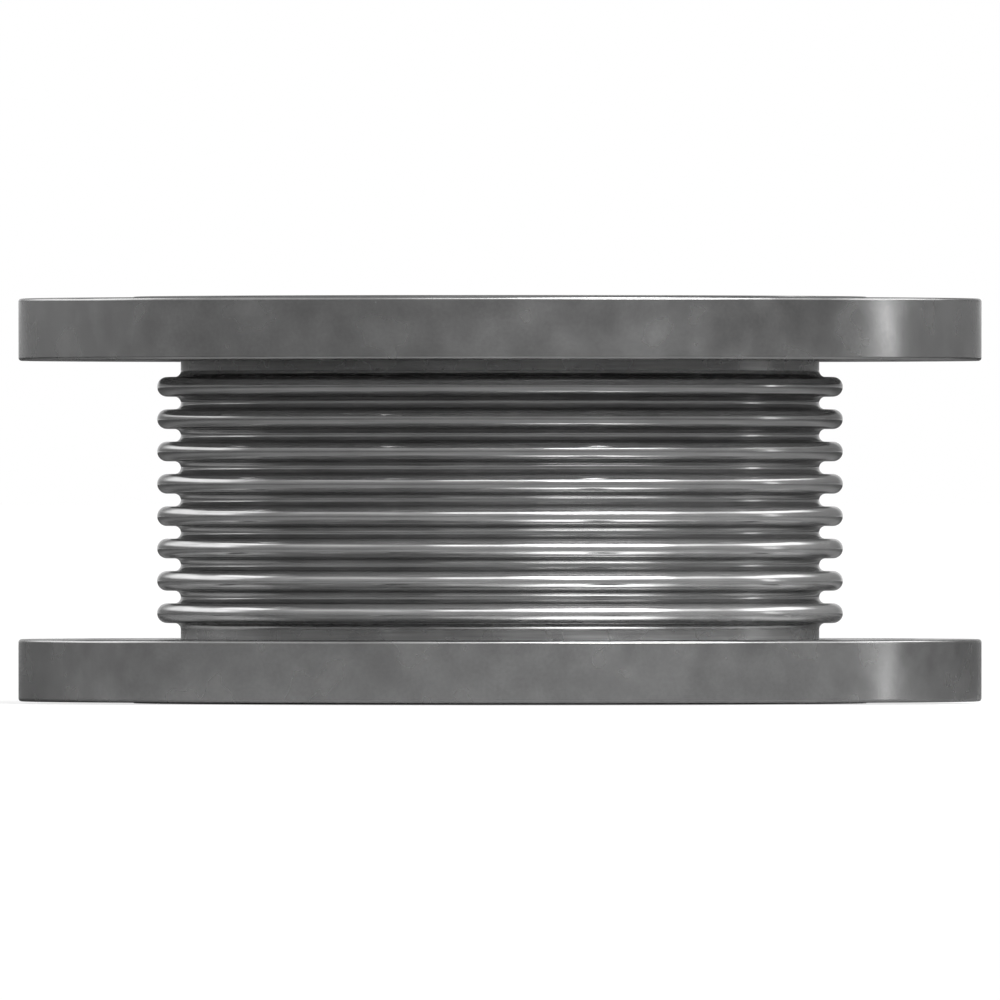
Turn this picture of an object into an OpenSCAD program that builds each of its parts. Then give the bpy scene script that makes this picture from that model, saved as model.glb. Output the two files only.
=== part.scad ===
// Flanged exhaust bellows: a corrugated steel tube between two thick round
// flanges, with a flow liner inside. The lower flange is the gas inlet. The
// origin is the centre of its gasket face, and +Z is the way the gas flows.

/* [Flanges] */
// Thickness of a flange without its raised face
flange_t = 19.7; // [14:0.1:28]
// Height of the raised gasket face
face_h = 0.6; // [0.4:0.1:1.5]
// Width of the raised gasket face, from the weld groove outwards
face_w = 11.8; // [6:0.1:20]
// Land from the raised face to the bolt holes
hole_land = 9.25; // [3:0.05:20]
// Land from the bolt holes to the rim
rim_land = 9.75; // [5:0.05:25]
// Radius of the rounding on both edges of the rim
rim_round = 1; // [0.2:0.1:2]

/* [Bolt holes] */
// Number of bolt holes in a flange
bolt_count = 8; // [4:1:12]
// Diameter of a bolt hole
bolt_hole_d = 17.5; // [11:0.5:24]
// Chamfer at both mouths of a bolt hole
hole_chamfer = 0.8; // [0.2:0.1:1.5]

/* [Bellows] */
// Outside diameter of the bellows' plain necks
neck_od = 202.2; // [160:0.2:260]
// Wall of the bellows
wall = 1.1; // [0.6:0.1:1.6]
// Number of convolutions
crest_count = 8; // [4:1:12]
// Distance from one convolution to the next
pitch = 10.24; // [9:0.02:13]
// Height of a convolution over the neck
crest_h = 7.5; // [6.8:0.1:10]
// Straight neck between a flange and the bend into the first convolution
neck_l = 3.1; // [1:0.1:10]

/* [Flow liner] */
// Wall of the liner
liner_t = 1.5; // [1:0.1:2.5]
// How far the liner's straight run stands in from the neck's inner wall
liner_step = 5; // [3:0.1:12]
// Length of the liner's cuff inside the neck
cuff_l = 14; // [6:0.5:16]
// Length of the taper from the cuff to the straight run
taper_l = 10; // [6:0.5:20]
// Distance from the liner's free end to the upper gasket face
liner_end_gap = 14; // [12:0.5:30]
// Distance from the liner's cuff end to the lower gasket face
liner_inset = 3.6; // [3.2:0.1:8]

/* [Welds] */
// Depth and width of the weld groove round the neck
groove = 3; // [2.5:0.1:3.5]
// Distance from a gasket face to the bellows' end inside the groove
neck_inset = 1.5; // [1:0.1:2]
// Distance from a gasket face to the top of its weld bead
bead_inset = 0.5; // [0.2:0.1:0.9]
// Radius of the weld bead's crown
bead_crown_r = 2.6; // [2.2:0.1:6]
// Leg of the weld that holds the liner in the neck
liner_weld_leg = 1.3; // [0.8:0.1:1.4]

/* [Fits] */
// Radial clearance between a flange's bore and the neck, and the neck and the liner
slip = 0.1; // [0.05:0.01:0.2]
// Clearance left round each weld bead
bead_gap = 0.05; // [0.02:0.01:0.08]

/* [Hidden] */
neck_r = neck_od / 2;
neck_in_r = neck_r - wall;
bore_r = neck_r + slip;

// The flange from its bore outwards
groove_r = bore_r + groove;
face_r = groove_r + face_w;
bolt_hole_r = bolt_hole_d / 2;
bolt_circle_r = face_r + hole_land + bolt_hole_r;
flange_r = bolt_circle_r + bolt_hole_r + rim_land;

// The wall's middle line has the same bend radius on a crest as in a root
crest_w = pitch / 2 + wall;
root_gap = pitch / 2 - wall;
tip_r = crest_w / 2;
bend_r = root_gap / 2;
tip_x = neck_r + crest_h - tip_r;
bend_x = neck_r + bend_r;

// Heights over the lower gasket face
lower_inner_z = face_h + flange_t;
first_root_z = lower_inner_z + neck_l;
last_root_z = first_root_z + crest_count * pitch;
upper_inner_z = last_root_z + neck_l;
height = upper_inner_z + flange_t + face_h;

liner_cuff_r = neck_in_r - slip;
liner_r = neck_in_r - liner_step;
taper_angle = atan((liner_cuff_r - liner_r) / taper_l);
taper_shift = liner_t * tan(taper_angle / 2);
cuff_end_z = liner_inset + cuff_l;
taper_end_z = cuff_end_z + taper_l;
liner_end_z = height - liner_end_gap;

// How far a cutting body runs past the surface that it cuts
past = 1;
$fn = 180;
section_fn = 48;

// Turns a shape that stands on the lower gasket face over onto the upper one
module at_upper_end() {
    translate([0, 0, height]) mirror([0, 0, 1]) children();
}

// Half section of a flange that lies on its gasket face
module flange_section() {
    inner_z = face_h + flange_t;
    rim_x = flange_r - rim_round;
    polygon([
        [groove_r, 0],
        [face_r, 0],
        [face_r, face_h],
        [rim_x, face_h],
        [flange_r, face_h + rim_round],
        [flange_r, inner_z - rim_round],
        [rim_x, inner_z],
        [bore_r, inner_z],
        [bore_r, groove],
    ]);
    for (z = [face_h + rim_round, inner_z - rim_round])
        translate([rim_x, z]) circle(r = rim_round, $fn = section_fn);
}

// One bolt hole on the axis, with a chamfer at each mouth
module bolt_hole() {
    inner_z = face_h + flange_t;
    flare = hole_chamfer + past;
    translate([0, 0, -past]) cylinder(h = inner_z + 2 * past, r = bolt_hole_r);
    translate([0, 0, inner_z - hole_chamfer])
        cylinder(h = flare, r1 = bolt_hole_r, r2 = bolt_hole_r + flare);
    translate([0, 0, face_h - past])
        cylinder(h = flare, r1 = bolt_hole_r + flare, r2 = bolt_hole_r);
}

// A turned flange: raised gasket face, bored for the neck, bolt holes between its centre lines
module flange() {
    difference() {
        rotate_extrude() flange_section();
        for (i = [0 : bolt_count - 1])
            rotate([0, 0, (i + 0.5) * 360 / bolt_count])
                translate([bolt_circle_r, 0, 0]) bolt_hole();
    }
}

// Half section of all that lies inside the surface this far under the bellows' outside
module tube_section(inset) {
    // The plain tube from end to end
    translate([0, neck_inset]) square([neck_r - inset, height - 2 * neck_inset]);
    // The crests, with flat sides and a round tip
    for (i = [0 : crest_count - 1])
        translate([0, first_root_z + (i + 0.5) * pitch]) {
            translate([0, inset - crest_w / 2]) square([tip_x, crest_w - 2 * inset]);
            translate([tip_x, 0]) circle(r = tip_r - inset, $fn = section_fn);
        }
    // The round bends between the crests, and from the necks into the outer ones
    difference() {
        translate([0, first_root_z]) square([bend_x, last_root_z - first_root_z]);
        for (i = [0 : crest_count])
            translate([bend_x, first_root_z + i * pitch])
                circle(r = bend_r + inset, $fn = section_fn);
    }
}

// The bellows: one thin tube with formed convolutions, whose necks run through both flanges
module bellows() {
    color("silver") rotate_extrude() difference() {
        tube_section(0);
        translate([0, -past]) square([neck_in_r, height + 2 * past]);
        tube_section(wall);
    }
}

module lower_flange() {
    color("dimgray") flange();
}

module upper_flange() {
    color("dimgray") at_upper_end() flange();
}

// The liner: a rolled sleeve held by its cuff at the gas inlet, free at its outlet end
module flow_liner() {
    color("darkgray") rotate_extrude() polygon([
        [liner_cuff_r, liner_inset],
        [liner_cuff_r, cuff_end_z],
        [liner_r, taper_end_z],
        [liner_r, liner_end_z],
        [liner_r - liner_t, liner_end_z],
        [liner_r - liner_t, taper_end_z - taper_shift],
        [liner_cuff_r - liner_t, cuff_end_z - taper_shift],
        [liner_cuff_r - liner_t, liner_inset],
    ]);
}

// The bead that fills the weld groove between the neck and the flange, with a rounded crown
module neck_weld() {
    inner_x = neck_r + bead_gap;
    // On the groove's slope, radius plus height is the same all the way
    slope_sum = groove_r - bead_gap * sqrt(2);
    outer_x = slope_sum - bead_inset;
    rotate_extrude() intersection() {
        polygon([
            [inner_x, bead_inset],
            [outer_x, bead_inset],
            [inner_x, slope_sum - inner_x],
        ]);
        translate([(inner_x + outer_x) / 2, bead_inset + bead_crown_r])
            circle(r = bead_crown_r, $fn = section_fn);
    }
}

module lower_neck_weld() {
    color("gray") neck_weld();
}

module upper_neck_weld() {
    color("gray") at_upper_end() neck_weld();
}

// The fillet weld between the liner's cuff end and the neck's inner wall
module liner_weld() {
    outer_x = neck_in_r - bead_gap;
    top_z = liner_inset - bead_gap;
    color("gray") rotate_extrude() polygon([
        [outer_x, top_z],
        [outer_x - liner_weld_leg, top_z],
        [outer_x, top_z - liner_weld_leg],
    ]);
}

lower_flange();
upper_flange();
bellows();
flow_liner();
lower_neck_weld();
upper_neck_weld();
liner_weld();
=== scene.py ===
"""The looks of a flanged exhaust bellows: formed steel tube, turned flanges and welds in a white studio."""

import math

import bmesh
import bpy
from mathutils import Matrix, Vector


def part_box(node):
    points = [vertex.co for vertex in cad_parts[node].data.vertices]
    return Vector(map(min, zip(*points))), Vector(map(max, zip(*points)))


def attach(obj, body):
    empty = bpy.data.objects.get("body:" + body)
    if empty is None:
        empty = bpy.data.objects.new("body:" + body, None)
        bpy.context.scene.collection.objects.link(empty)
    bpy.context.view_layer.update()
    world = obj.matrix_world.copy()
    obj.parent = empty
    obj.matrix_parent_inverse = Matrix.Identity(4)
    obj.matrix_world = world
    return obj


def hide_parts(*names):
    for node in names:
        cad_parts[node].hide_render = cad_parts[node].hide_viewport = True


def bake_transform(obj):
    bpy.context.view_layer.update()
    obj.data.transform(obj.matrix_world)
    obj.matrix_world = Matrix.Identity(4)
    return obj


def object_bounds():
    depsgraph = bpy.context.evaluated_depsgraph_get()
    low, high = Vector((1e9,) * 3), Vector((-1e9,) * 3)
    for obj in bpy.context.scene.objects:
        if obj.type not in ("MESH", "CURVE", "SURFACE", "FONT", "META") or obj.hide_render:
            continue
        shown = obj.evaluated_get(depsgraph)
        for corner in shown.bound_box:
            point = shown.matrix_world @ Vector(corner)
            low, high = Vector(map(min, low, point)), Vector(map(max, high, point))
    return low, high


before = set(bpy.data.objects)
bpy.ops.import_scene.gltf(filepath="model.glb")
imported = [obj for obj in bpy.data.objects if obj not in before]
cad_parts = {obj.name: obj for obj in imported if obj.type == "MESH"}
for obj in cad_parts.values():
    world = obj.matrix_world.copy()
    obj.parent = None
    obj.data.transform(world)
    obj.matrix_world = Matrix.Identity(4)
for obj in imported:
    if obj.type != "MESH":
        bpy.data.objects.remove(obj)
cad_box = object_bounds()

# Sizes of the bellows and its flanges in metres, which the frame's boxes don't hold
CREST_COUNT = 8
PITCH = 0.01024
CREST_H = 0.0075
WALL = 0.0011
SLIP = 0.0001
GROOVE = 0.003
FACE_H = 0.0006
FACE_W = 0.0118
RIM_ROUND = 0.001
BOLT_COUNT = 8
BOLT_HOLE_R = 0.00875
HOLE_CHAMFER = 0.0008
RIM_LAND = 0.00975

# Steps round the axis, and along one bend of the wall
TURN_STEPS = 192
OUTER_BEND_STEPS = 18
INNER_BEND_STEPS = 10

# The same for a flange's rim, its rounding and a bolt hole, and the narrow strip that ends a flat face
RIM_STEPS = 480
ROUND_STEPS = 8
HOLE_STEPS = 64
STRIP = 0.00005

# Edges between faces that meet at more than this many degrees stay sharp
SHARP_ANGLE = 40

# The photograph's camera: far away, level with the middle of the object, and the width that it shows
VIEW_WIDTH = 0.3167
CAMERA_DISTANCE = 13.5
SENSOR_WIDTH = 36.0

# Greys of the bare metals, how metallic the bellows is, and the tint of the metals' grazing reflection
FLANGE_GREY = 0.355
BELLOWS_GREY = 0.37
BELLOWS_METAL = 0.8
LINER_GREY = 0.42
WELD_GREY = 0.36
EDGE_TINT = 0.6

# Weld beads: gap to the neck, crown radius, points across, and the ripples' number, steps, depth and bow
BEAD_GAP = 0.00005
CROWN_R = 0.0026
CROWN_STEPS = 8
FILLET_STEPS = 4
RIPPLE_COUNT = 360
RIPPLE_STEPS = 6
RIPPLE_DEPTH = 0.00022
RIPPLE_BOW = 0.4

# The part of a noise's range that is used
NOISE_SPAN = (0.3, 0.7)

# Noises of the finishes: scale, detail, and the shades or the roughness that its used part is moved to
FLANGE_CLOUDS = (42.0, 3.0, 0.91, 1.09)
FLANGE_PATCHES = (13.0, 1.0, 0.95, 1.05)
FLANGE_SPOTS = (110.0, 1.0, 0.95, 1.05)
FLANGE_GRAIN = (900.0, 2.0, 0.96, 1.04)
FLANGE_ROUGH = (55.0, 3.0, 0.19, 0.3)
BELLOWS_CLOUDS = (60.0, 3.0, 0.92, 1.08)
BELLOWS_ROUGH = (90.0, 2.0, 0.14, 0.22)

# The same for noises that are used twice: scale and detail, shades, roughness
LINER_CLOUDS = (30.0, 3.0)
LINER_SHADES = (0.9, 1.1)
LINER_ROUGH = (0.3, 0.42)
WELD_MOTTLE = (350.0, 3.0)
WELD_SHADES = (0.75, 1.15)
WELD_ROUGH = (0.34, 0.24)
WELD_TINT = (1.0, 0.965, 0.92)

# Marks that run round the axis: scale across them, scale along them, detail
FLANGE_MARKS = (3500.0, 1.2, 2.0)
BELLOWS_STREAKS = (1100.0, 4.0, 3.0)
BELLOWS_WAVES = (60.0, 7.0, 1.0)
LINER_LINES = (1800.0, 2.0, 3.0)
STREAK_SHADES = (0.86, 1.14)
LINE_SHADES = (0.88, 1.12)

# Ring spacing on the gasket faces, and how near to a face counts as on it
SERRATION_PITCH = 0.0008
FACE_TOLERANCE = 0.0002

# How much rougher the tube's necks are, where its seam fades, how much darker and rougher the seam is
NECK_ROUGH = 0.1
SEAM_EDGE = (0.001, 0.0014)
SEAM_DARK = 0.06
SEAM_ROUGH = 0.15

# Relief of the finishes in metres
MARK_RELIEF = 0.000002
SERRATION_RELIEF = 0.00002
WAVE_RELIEF = 0.00012
STREAK_RELIEF = 0.00001
SEAM_RELIEF = 0.00004
MOTTLE_RELIEF = 0.00002

# The room's light, what a band above the horizon adds and what is left at the back. Each range is of a
# direction's height or depth: where the band starts, where it ends, where the back starts
ROOM_LIGHT = 0.41
ROOM_BAND = 0.16
ROOM_BACK = 0.8
BAND_START = (0.08, 0.4)
BAND_END = (0.6, 0.95)
BAND_LEFT = 0.3
BACK_START = (0.4, 0.95)

# Where the white backdrop shows in a reflection, as a direction's depth
BACKDROP_START = (0.97, 0.99)

# The floor: its paint, paler near the object as a painted pool of light that the metal reflects, and the
# white that it shows, each near the object and away from it, between which distances they change, where its
# white shows in a reflection, its size and how far it is under the object
FLOOR_PAINTED_LIGHT_POOL = (0.26, 0.1)
FLOOR_WHITE = (0.74, 0.97)
FLOOR_FADE = (0.28, 0.7)
FLOOR_BACK = (3.0, 8.0)
FLOOR_SIZE = 900.0
FLOOR_DROP = 0.0001

# Softboxes: how far from the object they stand, and the share of a side over which each edge fades
LAMP_DISTANCE = 2.5
SOFT_EDGE = 0.25

# Name, azimuth to the right of the camera's side and elevation in degrees, width, height, radiance
SOFTBOXES = [
    ("key", 39, 43, 2.2, 1.8, 15.0),
    ("key_left_wing", -4, 38, 1.9, 0.9, 2.9),
    ("left_fill", -57, 33, 2.5, 0.9, 0.5),
    ("key_right_wing", 76, 34, 1.4, 0.9, 1.6),
    ("side_strip", 103, 2, 0.32, 1.5, 2.6),
    ("back_left", -130, 18, 3.4, 1.0, 2.1),
    ("back_left_high", -112, 33, 1.7, 0.7, 2.6),
    ("back_right", 118, 28, 2.5, 0.8, 3.2),
]

bellows_low, bellows_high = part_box("bellows")
HEIGHT = cad_box[1][2] - cad_box[0][2]
MID_Z = (cad_box[0][2] + cad_box[1][2]) / 2
FLANGE_R = cad_box[1][0]
CREST_R = bellows_high[0]
NECK_R = CREST_R - CREST_H
TIP_R = (PITCH / 2 + WALL) / 2
ROOT_R = (PITCH / 2 - WALL) / 2
FIRST_ROOT_Z = MID_Z - CREST_COUNT * PITCH / 2
LAST_ROOT_Z = MID_Z + CREST_COUNT * PITCH / 2


def add_camera():
    """The camera looks along +Y, level with the object's middle."""
    data = bpy.data.cameras.new("camera")
    data.sensor_width = SENSOR_WIDTH
    data.lens = SENSOR_WIDTH * CAMERA_DISTANCE / VIEW_WIDTH
    data.clip_end = FLOOR_SIZE
    camera = bpy.data.objects.new("camera", data)
    camera.location = (0, -CAMERA_DISTANCE, MID_Z)
    camera.rotation_euler = (math.radians(90), 0, 0)
    bpy.context.scene.collection.objects.link(camera)
    bpy.context.scene.camera = camera


def on_arc(centre, radius, angle):
    """A point of a circle in the half section, at this angle in degrees."""
    turn = math.radians(angle)
    return centre[0] + radius * math.cos(turn), centre[1] + radius * math.sin(turn)


def arc(centre, radius, start, end, steps):
    """Points of an arc in the half section, from one angle to another in degrees, without its last point."""
    return [on_arc(centre, radius, start + (end - start) * i / steps) for i in range(steps)]


def wall_line(inset, steps):
    """One surface of the bellows' wall from the lower end to the upper one, as (radius, height) points."""
    crest_tip_r = TIP_R - inset
    root_bend_r = ROOT_R + inset
    tip_x = CREST_R - TIP_R
    root_x = NECK_R + ROOT_R
    points = [(NECK_R - inset, bellows_low[2])]
    points += arc((root_x, FIRST_ROOT_Z), root_bend_r, 180, 90, steps // 2)
    for i in range(CREST_COUNT):
        crest_z = FIRST_ROOT_Z + (i + 0.5) * PITCH
        points.append(on_arc((root_x, crest_z - PITCH / 2), root_bend_r, 90))
        points += arc((tip_x, crest_z), crest_tip_r, -90, 90, steps)
        points.append(on_arc((tip_x, crest_z), crest_tip_r, 90))
        if i < CREST_COUNT - 1:
            points += arc((root_x, crest_z + PITCH / 2), root_bend_r, 270, 90, steps)
    points += arc((root_x, LAST_ROOT_Z), root_bend_r, 270, 180, steps // 2)
    points.append((NECK_R - inset, LAST_ROOT_Z))
    points.append((NECK_R - inset, bellows_high[2]))
    return points


def revolve(name, profile, turn_steps, shift=None):
    """A closed ring swept from a closed half section. shift(k, i) may move point i of section k."""
    mesh = bpy.data.meshes.new(name)
    count = len(profile)
    verts = []
    for k in range(turn_steps):
        angle = 2 * math.pi * k / turn_steps
        for i, (radius, height) in enumerate(profile):
            out, up = shift(k, i) if shift else (0.0, 0.0)
            verts.append(((radius + out) * math.cos(angle), (radius + out) * math.sin(angle), height + up))
    faces = []
    for k in range(turn_steps):
        here = k * count
        there = (k + 1) % turn_steps * count
        for i in range(count):
            j = (i + 1) % count
            faces.append((here + i, there + i, there + j, here + j))
    mesh.from_pydata(verts, [], faces)
    mesh.validate()
    tidy_normals(mesh)
    piece = bpy.data.objects.new(name, mesh)
    bpy.context.scene.collection.objects.link(piece)
    return piece


def tidy_normals(mesh):
    """Turns every face outwards and shades it smooth, apart from the corners of the section."""
    bm = bmesh.new()
    bm.from_mesh(mesh)
    bmesh.ops.recalc_face_normals(bm, faces=bm.faces)
    bm.to_mesh(mesh)
    bm.free()
    mesh.shade_smooth()
    mesh.set_sharp_from_angle(angle=math.radians(SHARP_ANGLE))


def make_flange(node, body):
    """A turned flange like its solid, with evenly stepped roundings along its rim."""
    low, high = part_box(node)
    upper = low[2] > MID_Z
    inner_z = high[2] - low[2]
    bore_r = NECK_R + SLIP
    face_r = bore_r + GROOVE + FACE_W
    rim_x = FLANGE_R - RIM_ROUND
    section = [(bore_r + GROOVE, 0.0), (face_r, 0.0), (face_r, FACE_H), (rim_x - STRIP, FACE_H)]
    section += arc((rim_x, FACE_H + RIM_ROUND), RIM_ROUND, -90, 0, ROUND_STEPS)
    section += [(FLANGE_R, FACE_H + RIM_ROUND), (FLANGE_R, FACE_H + RIM_ROUND + STRIP)]
    section += [(FLANGE_R, inner_z - RIM_ROUND - STRIP)]
    section += arc((rim_x, inner_z - RIM_ROUND), RIM_ROUND, 0, 90, ROUND_STEPS)
    section += [(rim_x, inner_z), (rim_x - STRIP, inner_z), (bore_r, inner_z), (bore_r, GROOVE)]
    # Each chamfer of the cutter runs past its face by as much again
    flare = 2 * HOLE_CHAMFER
    hole = [(BOLT_HOLE_R + flare, FACE_H - HOLE_CHAMFER), (BOLT_HOLE_R, FACE_H + HOLE_CHAMFER),
            (BOLT_HOLE_R, inner_z - HOLE_CHAMFER), (BOLT_HOLE_R + flare, inner_z + HOLE_CHAMFER)]
    if upper:
        section = [(radius, HEIGHT - height) for radius, height in section]
        hole = [(radius, HEIGHT - height) for radius, height in hole]
    piece = revolve(node + "_turned", section, RIM_STEPS)
    cut_holes(piece, hole)
    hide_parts(node)
    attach(piece, body)
    dress(piece, flange_look)


def cut_holes(piece, section):
    """Cuts the bolt holes, each with this (radius, height) section, halfway between the centre lines."""
    bm = bmesh.new()
    for i in range(BOLT_COUNT):
        turn = 2 * math.pi * (i + 0.5) / BOLT_COUNT
        centre_r = FLANGE_R - RIM_LAND - BOLT_HOLE_R
        rings = []
        for radius, height in section:
            ring = []
            for k in range(HOLE_STEPS):
                angle = 2 * math.pi * k / HOLE_STEPS
                ring.append(bm.verts.new((centre_r * math.cos(turn) + radius * math.cos(angle),
                                          centre_r * math.sin(turn) + radius * math.sin(angle), height)))
            rings.append(ring)
        for here, there in zip(rings, rings[1:]):
            for k in range(HOLE_STEPS):
                j = (k + 1) % HOLE_STEPS
                bm.faces.new((here[k], here[j], there[j], there[k]))
        bm.faces.new(rings[0])
        bm.faces.new(rings[-1])
    bmesh.ops.recalc_face_normals(bm, faces=bm.faces)
    mesh = bpy.data.meshes.new("holes")
    bm.to_mesh(mesh)
    bm.free()
    cutter = bpy.data.objects.new("holes", mesh)
    bpy.context.scene.collection.objects.link(cutter)
    cut = piece.modifiers.new("holes", "BOOLEAN")
    cut.operation = "DIFFERENCE"
    cut.solver = "EXACT"
    cut.object = cutter
    whole = piece.evaluated_get(bpy.context.evaluated_depsgraph_get())
    drilled = bpy.data.meshes.new_from_object(whole)
    piece.modifiers.clear()
    piece.data = drilled
    tidy_normals(drilled)
    bpy.data.objects.remove(cutter)


def make_bellows():
    """The formed tube as one closed wall."""
    outside = wall_line(0.0, OUTER_BEND_STEPS)
    inside = wall_line(WALL, INNER_BEND_STEPS)
    piece = revolve("bellows_tube", outside + inside[::-1], TURN_STEPS)
    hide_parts("bellows")
    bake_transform(piece)
    return piece


def ripple(k, across):
    """How deep a weld ripple cuts at this section and this share of the bead's width, from 0 to 1."""
    phase = 2 * math.pi * (k / RIPPLE_STEPS - RIPPLE_BOW * (2 * across - 1) ** 2)
    return (0.5 - 0.5 * math.cos(phase)) * math.sin(math.pi * across)


def make_neck_bead(node, body):
    """A rippled bead in a flange's weld groove, with its crown towards the gasket face."""
    low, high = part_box(node)
    upper = low[2] > MID_Z
    top = HEIGHT - high[2] if upper else low[2]
    deep = HEIGHT - low[2] if upper else high[2]
    inner = NECK_R + BEAD_GAP
    slope_sum = inner + deep
    centre = ((inner + slope_sum - top) / 2, top + CROWN_R)
    first = math.degrees(math.acos((inner - centre[0]) / CROWN_R))
    last = 45 - math.degrees(math.acos((slope_sum - centre[0] - centre[1]) / (math.sqrt(2) * CROWN_R)))
    crown = arc(centre, CROWN_R, -first, last, CROWN_STEPS)
    crown.append(on_arc(centre, CROWN_R, last))

    def shift(k, i):
        if i > CROWN_STEPS:
            return 0.0, 0.0
        depth = RIPPLE_DEPTH * ripple(k, i / CROWN_STEPS)
        out = centre[0] - crown[i][0]
        up = centre[1] - crown[i][1]
        return depth * out / CROWN_R, (-depth if upper else depth) * up / CROWN_R

    section = crown + [(inner, deep)]
    if upper:
        section = [(radius, HEIGHT - height) for radius, height in section]
    finish_bead(revolve(node + "_bead", section, RIPPLE_COUNT * RIPPLE_STEPS, shift), node, body)


def make_liner_bead(node, body):
    """The rippled fillet between the liner's cuff and the neck."""
    low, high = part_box(node)
    leg = high[2] - low[2]
    face = [(high[0] - leg * (1 - i / FILLET_STEPS), high[2] - leg * i / FILLET_STEPS)
            for i in range(FILLET_STEPS + 1)]

    def shift(k, i):
        if i > FILLET_STEPS:
            return 0.0, 0.0
        depth = RIPPLE_DEPTH * ripple(k, i / FILLET_STEPS) / math.sqrt(2)
        return depth, depth

    section = face + [(high[0], high[2])]
    finish_bead(revolve(node + "_bead", section, RIPPLE_COUNT * RIPPLE_STEPS, shift), node, body)


def finish_bead(piece, node, body):
    """Puts a bead in its node's place, on its body."""
    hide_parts(node)
    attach(piece, body)
    dress(piece, weld_look)


def add(tree, kind, inputs=None, **settings):
    """A new node with these settings. An input takes a value or another node's output."""
    made = tree.nodes.new(kind)
    for name, value in settings.items():
        setattr(made, name, value)
    for name, value in (inputs or {}).items():
        if isinstance(value, bpy.types.NodeSocket):
            tree.links.new(value, made.inputs[name])
        else:
            made.inputs[name].default_value = value
    return made


def calc(tree, operation, a, b=0.0):
    """The output of a math node."""
    return add(tree, "ShaderNodeMath", {0: a, 1: b}, operation=operation).outputs[0]


def spread(tree, value, low, high, from_low=0.0, from_high=1.0, kind="LINEAR"):
    """value moved from one range to another, and held inside it."""
    inputs = {"Value": value, "From Min": from_low, "From Max": from_high, "To Min": low, "To Max": high}
    return add(tree, "ShaderNodeMapRange", inputs, interpolation_type=kind).outputs["Result"]


def noise(tree, vector, scale, detail):
    """Grey noise from 0 to 1 over these coordinates."""
    inputs = {"Vector": vector, "Scale": scale, "Detail": detail}
    return add(tree, "ShaderNodeTexNoise", inputs).outputs["Fac"]


def vary(tree, grey, low, high):
    """The used part of a noise's range moved to this one."""
    return spread(tree, grey, low, high, *NOISE_SPAN)


def mottle(tree, vector, scale, detail, low, high):
    """Noise whose used part runs from low to high."""
    return vary(tree, noise(tree, vector, scale, detail), low, high)


def times(tree, *factors):
    """The product of these values."""
    product = factors[0]
    for factor in factors[1:]:
        product = calc(tree, "MULTIPLY", product, factor)
    return product


def from_middle(tree, height):
    """How far this height is from the object's middle."""
    return calc(tree, "ABSOLUTE", calc(tree, "SUBTRACT", height, MID_Z))


def round_coords(tree):
    """Position, distance from the axis, angle from the front and height, all in the row's frame."""
    position = add(tree, "ShaderNodeTexCoord").outputs["Object"]
    xyz = add(tree, "ShaderNodeSeparateXYZ", {"Vector": position}).outputs
    flat = add(tree, "ShaderNodeCombineXYZ", {"X": xyz["X"], "Y": xyz["Y"]}).outputs[0]
    radius = add(tree, "ShaderNodeVectorMath", {0: flat}, operation="LENGTH").outputs["Value"]
    angle = calc(tree, "ARCTAN2", xyz["X"], calc(tree, "MULTIPLY", xyz["Y"], -1.0))
    return position, radius, angle, xyz["Z"]


def turned_noise(tree, radius, angle, height, across, along, detail):
    """Noise in marks that run round the axis: fine across them, long along them."""
    inputs = {
        "X": calc(tree, "MULTIPLY", radius, across),
        "Y": calc(tree, "MULTIPLY", height, across),
        "Z": calc(tree, "MULTIPLY", angle, along),
    }
    return noise(tree, add(tree, "ShaderNodeCombineXYZ", inputs).outputs[0], 1.0, detail)


def new_metal(name):
    """A material with a Principled shader set to bare metal, and its node tree."""
    material = bpy.data.materials.new(name)
    material.use_nodes = True
    tree = material.node_tree
    shader = tree.nodes["Principled BSDF"]
    shader.inputs["Metallic"].default_value = 1.0
    shader.inputs["Specular Tint"].default_value = (EDGE_TINT, EDGE_TINT, EDGE_TINT, 1.0)
    return material, tree, shader


def finish_metal(tree, shader, grey, rough, bumps, tint=(1.0, 1.0, 1.0)):
    """Links a grey, which tint colours, a roughness and a stack of bumps, each (height, metres)."""
    colour = add(tree, "ShaderNodeVectorMath", {0: tint, "Scale": grey}, operation="SCALE").outputs[0]
    tree.links.new(colour, shader.inputs["Base Color"])
    tree.links.new(rough, shader.inputs["Roughness"])
    normal = None
    for height, distance in bumps:
        inputs = {"Height": height, "Distance": distance}
        if normal:
            inputs["Normal"] = normal
        normal = add(tree, "ShaderNodeBump", inputs).outputs["Normal"]
    tree.links.new(normal, shader.inputs["Normal"])


def flange_steel():
    """Turned plate: cloudy grey, fine tool marks round the axis, a serrated gasket face."""
    material, tree, shader = new_metal("flange_steel_look")
    position, radius, angle, height = round_coords(tree)
    kinds = (FLANGE_CLOUDS, FLANGE_PATCHES, FLANGE_SPOTS, FLANGE_GRAIN)
    grey = times(tree, *[mottle(tree, position, *kind) for kind in kinds], FLANGE_GREY)
    rough = mottle(tree, position, *FLANGE_ROUGH)
    marks = turned_noise(tree, radius, angle, height, *FLANGE_MARKS)
    rings = calc(tree, "SINE", calc(tree, "MULTIPLY", radius, 2 * math.pi / SERRATION_PITCH))
    on_face = calc(tree, "GREATER_THAN", from_middle(tree, height), HEIGHT / 2 - FACE_TOLERANCE)
    serration = calc(tree, "MULTIPLY", rings, on_face)
    finish_metal(tree, shader, grey, rough, [(marks, MARK_RELIEF), (serration, SERRATION_RELIEF)])
    return material


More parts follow.
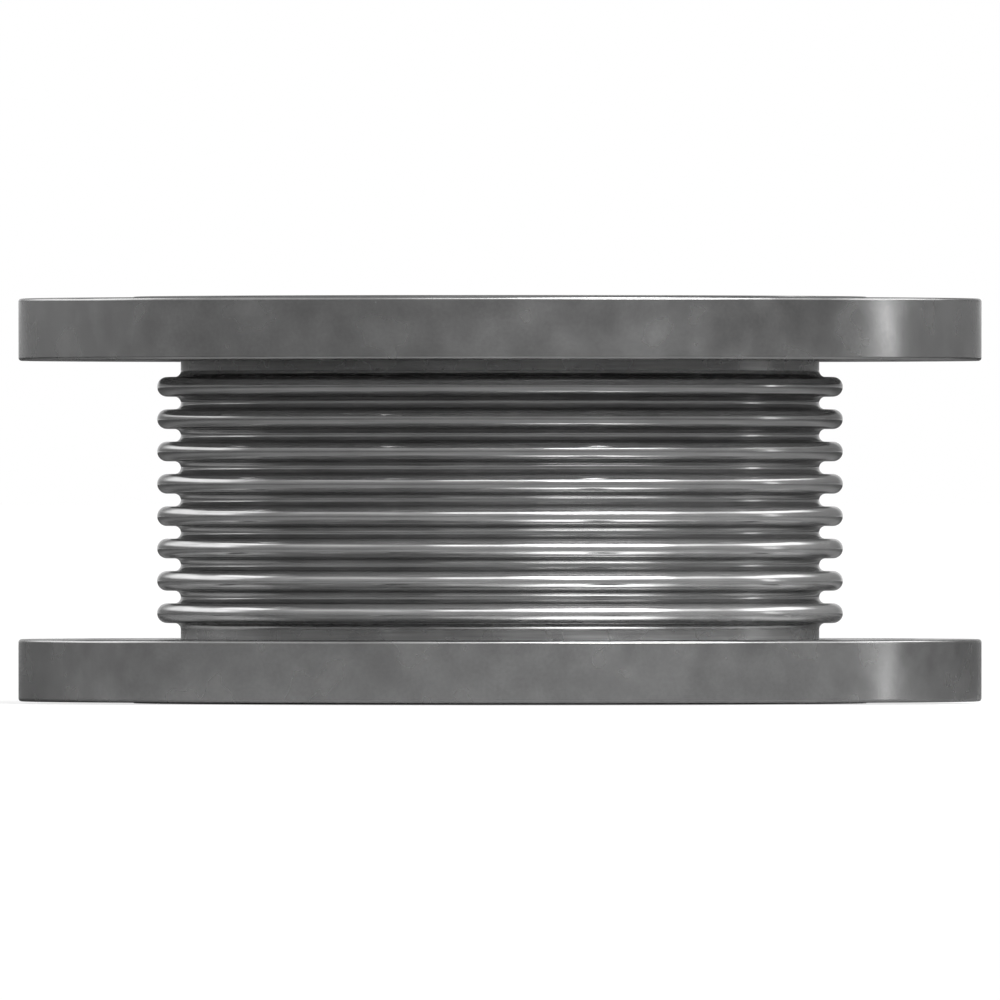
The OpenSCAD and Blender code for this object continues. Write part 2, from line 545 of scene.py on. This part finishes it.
def bellows_steel():
    """Formed stainless sheet: smooth, streaked round the axis, with a planished seam at the back."""
    material, tree, shader = new_metal("bellows_steel_look")
    shader.inputs["Metallic"].default_value = BELLOWS_METAL
    position, radius, angle, height = round_coords(tree)
    xyz = add(tree, "ShaderNodeSeparateXYZ", {"Vector": position}).outputs
    off_seam = calc(tree, "ABSOLUTE", xyz["X"])
    seam = calc(tree, "MULTIPLY", spread(tree, off_seam, 1.0, 0.0, *SEAM_EDGE, "SMOOTHSTEP"),
                calc(tree, "GREATER_THAN", xyz["Y"], 0.0))
    streaks = turned_noise(tree, radius, angle, height, *BELLOWS_STREAKS)
    base = calc(tree, "SUBTRACT", BELLOWS_GREY, calc(tree, "MULTIPLY", seam, SEAM_DARK))
    clouds = mottle(tree, position, *BELLOWS_CLOUDS)
    grey = times(tree, vary(tree, streaks, *STREAK_SHADES), clouds, base)
    neck = calc(tree, "GREATER_THAN", from_middle(tree, height), LAST_ROOT_Z - MID_Z)
    rough = mottle(tree, position, *BELLOWS_ROUGH)
    for place, rise in ((seam, SEAM_ROUGH), (neck, NECK_ROUGH)):
        rough = calc(tree, "ADD", rough, calc(tree, "MULTIPLY", place, rise))
    waves = turned_noise(tree, radius, angle, height, *BELLOWS_WAVES)
    finish_metal(tree, shader, grey, rough,
                 [(waves, WAVE_RELIEF), (streaks, STREAK_RELIEF), (seam, SEAM_RELIEF)])
    return material


def liner_steel():
    """Rolled sheet with a dull mill finish."""
    material, tree, shader = new_metal("liner_steel_look")
    position, radius, angle, height = round_coords(tree)
    lines = turned_noise(tree, radius, angle, height, *LINER_LINES)
    clouds = noise(tree, position, *LINER_CLOUDS)
    grey = times(tree, vary(tree, lines, *LINE_SHADES), vary(tree, clouds, *LINER_SHADES), LINER_GREY)
    finish_metal(tree, shader, grey, vary(tree, clouds, *LINER_ROUGH), [(lines, STREAK_RELIEF)])
    return material


def weld_metal():
    """Bead metal, a little darker and warmer than the sheet, with a fine oxide mottle."""
    material, tree, shader = new_metal("weld_metal_look")
    position = round_coords(tree)[0]
    oxide = noise(tree, position, *WELD_MOTTLE)
    grey = times(tree, vary(tree, oxide, *WELD_SHADES), WELD_GREY)
    finish_metal(tree, shader, grey, vary(tree, oxide, *WELD_ROUGH), [(oxide, MOTTLE_RELIEF)], WELD_TINT)
    return material


def white_share(tree, towards_back):
    """1 where the white background shows: to the camera all round, in reflections and glass at the back."""
    path = add(tree, "ShaderNodeLightPath").outputs
    through = calc(tree, "MAXIMUM", path["Is Glossy Ray"], path["Is Transmission Ray"])
    return calc(tree, "MAXIMUM", path["Is Camera Ray"], calc(tree, "MULTIPLY", through, towards_back))


def light_world():
    """A grey room, paler above the horizon and dimmer at the back, with a white backdrop far behind."""
    world = bpy.data.worlds.new("studio")
    world.use_nodes = True
    tree = world.node_tree
    tree.nodes.clear()
    direction = add(tree, "ShaderNodeTexCoord").outputs["Generated"]
    xyz = add(tree, "ShaderNodeSeparateXYZ", {"Vector": direction}).outputs
    band = calc(tree, "MULTIPLY", spread(tree, xyz["Z"], 0.0, 1.0, *BAND_START, "SMOOTHSTEP"),
                spread(tree, xyz["Z"], 1.0, BAND_LEFT, *BAND_END, "SMOOTHSTEP"))
    room = calc(tree, "ADD", calc(tree, "MULTIPLY", band, ROOM_BAND), ROOM_LIGHT)
    room = calc(tree, "MULTIPLY", room, spread(tree, xyz["Y"], 1.0, ROOM_BACK, *BACK_START, "SMOOTHSTEP"))
    grey = add(tree, "ShaderNodeBackground", {"Color": (1, 1, 1, 1), "Strength": room})
    white = add(tree, "ShaderNodeBackground", {"Color": (1, 1, 1, 1), "Strength": 1.0})
    share = white_share(tree, spread(tree, xyz["Y"], 0.0, 1.0, *BACKDROP_START, "SMOOTHSTEP"))
    mixed = add(tree, "ShaderNodeMixShader", {0: share, 1: grey.outputs[0], 2: white.outputs[0]})
    add(tree, "ShaderNodeOutputWorld", {"Surface": mixed.outputs[0]})
    bpy.context.scene.world = world


def add_floor():
    """A wide pale floor that shows white, under the shadow that the object casts on its paint. Its paint is
    paler near the object, a painted pool of light for the metal to reflect.
    """
    mesh = bpy.data.meshes.new("floor")
    edge = FLOOR_SIZE / 2
    z = cad_box[0][2] - FLOOR_DROP
    corners = [(-edge, -edge, z), (edge, -edge, z), (edge, edge, z), (-edge, edge, z)]
    mesh.from_pydata(corners, [], [(0, 1, 2, 3)])
    floor = bpy.data.objects.new("floor", mesh)
    bpy.context.scene.collection.objects.link(floor)
    material = bpy.data.materials.new("floor_white")
    material.use_nodes = True
    tree = material.node_tree
    tree.nodes.clear()
    position = add(tree, "ShaderNodeTexCoord").outputs["Object"]
    xyz = add(tree, "ShaderNodeSeparateXYZ", {"Vector": position}).outputs
    away = add(tree, "ShaderNodeVectorMath", {0: position}, operation="LENGTH").outputs["Value"]
    share = white_share(tree, spread(tree, xyz["Y"], 0.0, 1.0, *FLOOR_BACK, "SMOOTHSTEP"))
    strength = calc(tree, "MULTIPLY", share, spread(tree, away, *FLOOR_WHITE, *FLOOR_FADE, "SMOOTHSTEP"))
    # Painted pool of light: the paint is paler near the object than away from it
    shade = spread(tree, away, *FLOOR_PAINTED_LIGHT_POOL, *FLOOR_FADE, "SMOOTHSTEP")
    colour = add(tree, "ShaderNodeCombineXYZ", {"X": shade, "Y": shade, "Z": shade}).outputs[0]
    paint = add(tree, "ShaderNodeBsdfDiffuse", {"Color": colour})
    white = add(tree, "ShaderNodeEmission", {"Color": (1, 1, 1, 1), "Strength": strength})
    both = add(tree, "ShaderNodeAddShader", {0: paint.outputs[0], 1: white.outputs[0]})
    add(tree, "ShaderNodeOutputMaterial", {"Surface": both.outputs[0]})
    mesh.materials.append(material)


def add_softbox(name, azimuth, elevation, width, height, radiance):
    """A lamp that faces the object."""
    a = math.radians(azimuth)
    e = math.radians(elevation)
    place = Vector((math.sin(a) * math.cos(e), -math.cos(a) * math.cos(e), math.sin(e))) * LAMP_DISTANCE
    data = bpy.data.lights.new(name, "AREA")
    data.shape = "RECTANGLE"
    data.size = width
    data.size_y = height
    data.energy = radiance * math.pi * width * height
    soften(data)
    lamp = bpy.data.objects.new(name, data)
    lamp.location = place + Vector((0, 0, MID_Z))
    lamp.rotation_euler = place.to_track_quat("Z", "Y").to_euler()
    lamp.visible_camera = False
    bpy.context.scene.collection.objects.link(lamp)


def soften(lamp):
    """Fades a softbox towards its edges."""
    lamp.use_nodes = True
    tree = lamp.node_tree
    tree.nodes.clear()
    place = add(tree, "ShaderNodeNewGeometry").outputs["Parametric"]
    xyz = add(tree, "ShaderNodeSeparateXYZ", {"Vector": place}).outputs
    share = 1.0
    for axis in ("X", "Y"):
        off_middle = calc(tree, "ABSOLUTE", calc(tree, "SUBTRACT", xyz[axis], 0.5))
        inwards = calc(tree, "SUBTRACT", 0.5, off_middle)
        share = calc(tree, "MULTIPLY", share, spread(tree, inwards, 0.0, 1.0, 0.0, SOFT_EDGE, "SMOOTHSTEP"))
    glow = add(tree, "ShaderNodeEmission", {"Color": (1, 1, 1, 1), "Strength": share})
    add(tree, "ShaderNodeOutputLight", {"Surface": glow.outputs[0]})


def dress(piece, material):
    """Gives a piece its one material."""
    piece.data.materials.clear()
    piece.data.materials.append(material)


bpy.context.scene.view_settings.view_transform = "Standard"
add_camera()
light_world()
add_floor()
for softbox in SOFTBOXES:
    add_softbox(*softbox)

flange_look = flange_steel()
weld_look = weld_metal()
bellows = make_bellows()
dress(bellows, bellows_steel())
make_flange("lower_flange", "lower_end")
make_flange("upper_flange", "upper_end")
dress(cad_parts["flow_liner"], liner_steel())
make_neck_bead("lower_neck_weld", "lower_end")
make_neck_bead("upper_neck_weld", "upper_end")
make_liner_bead("liner_weld", "lower_end")
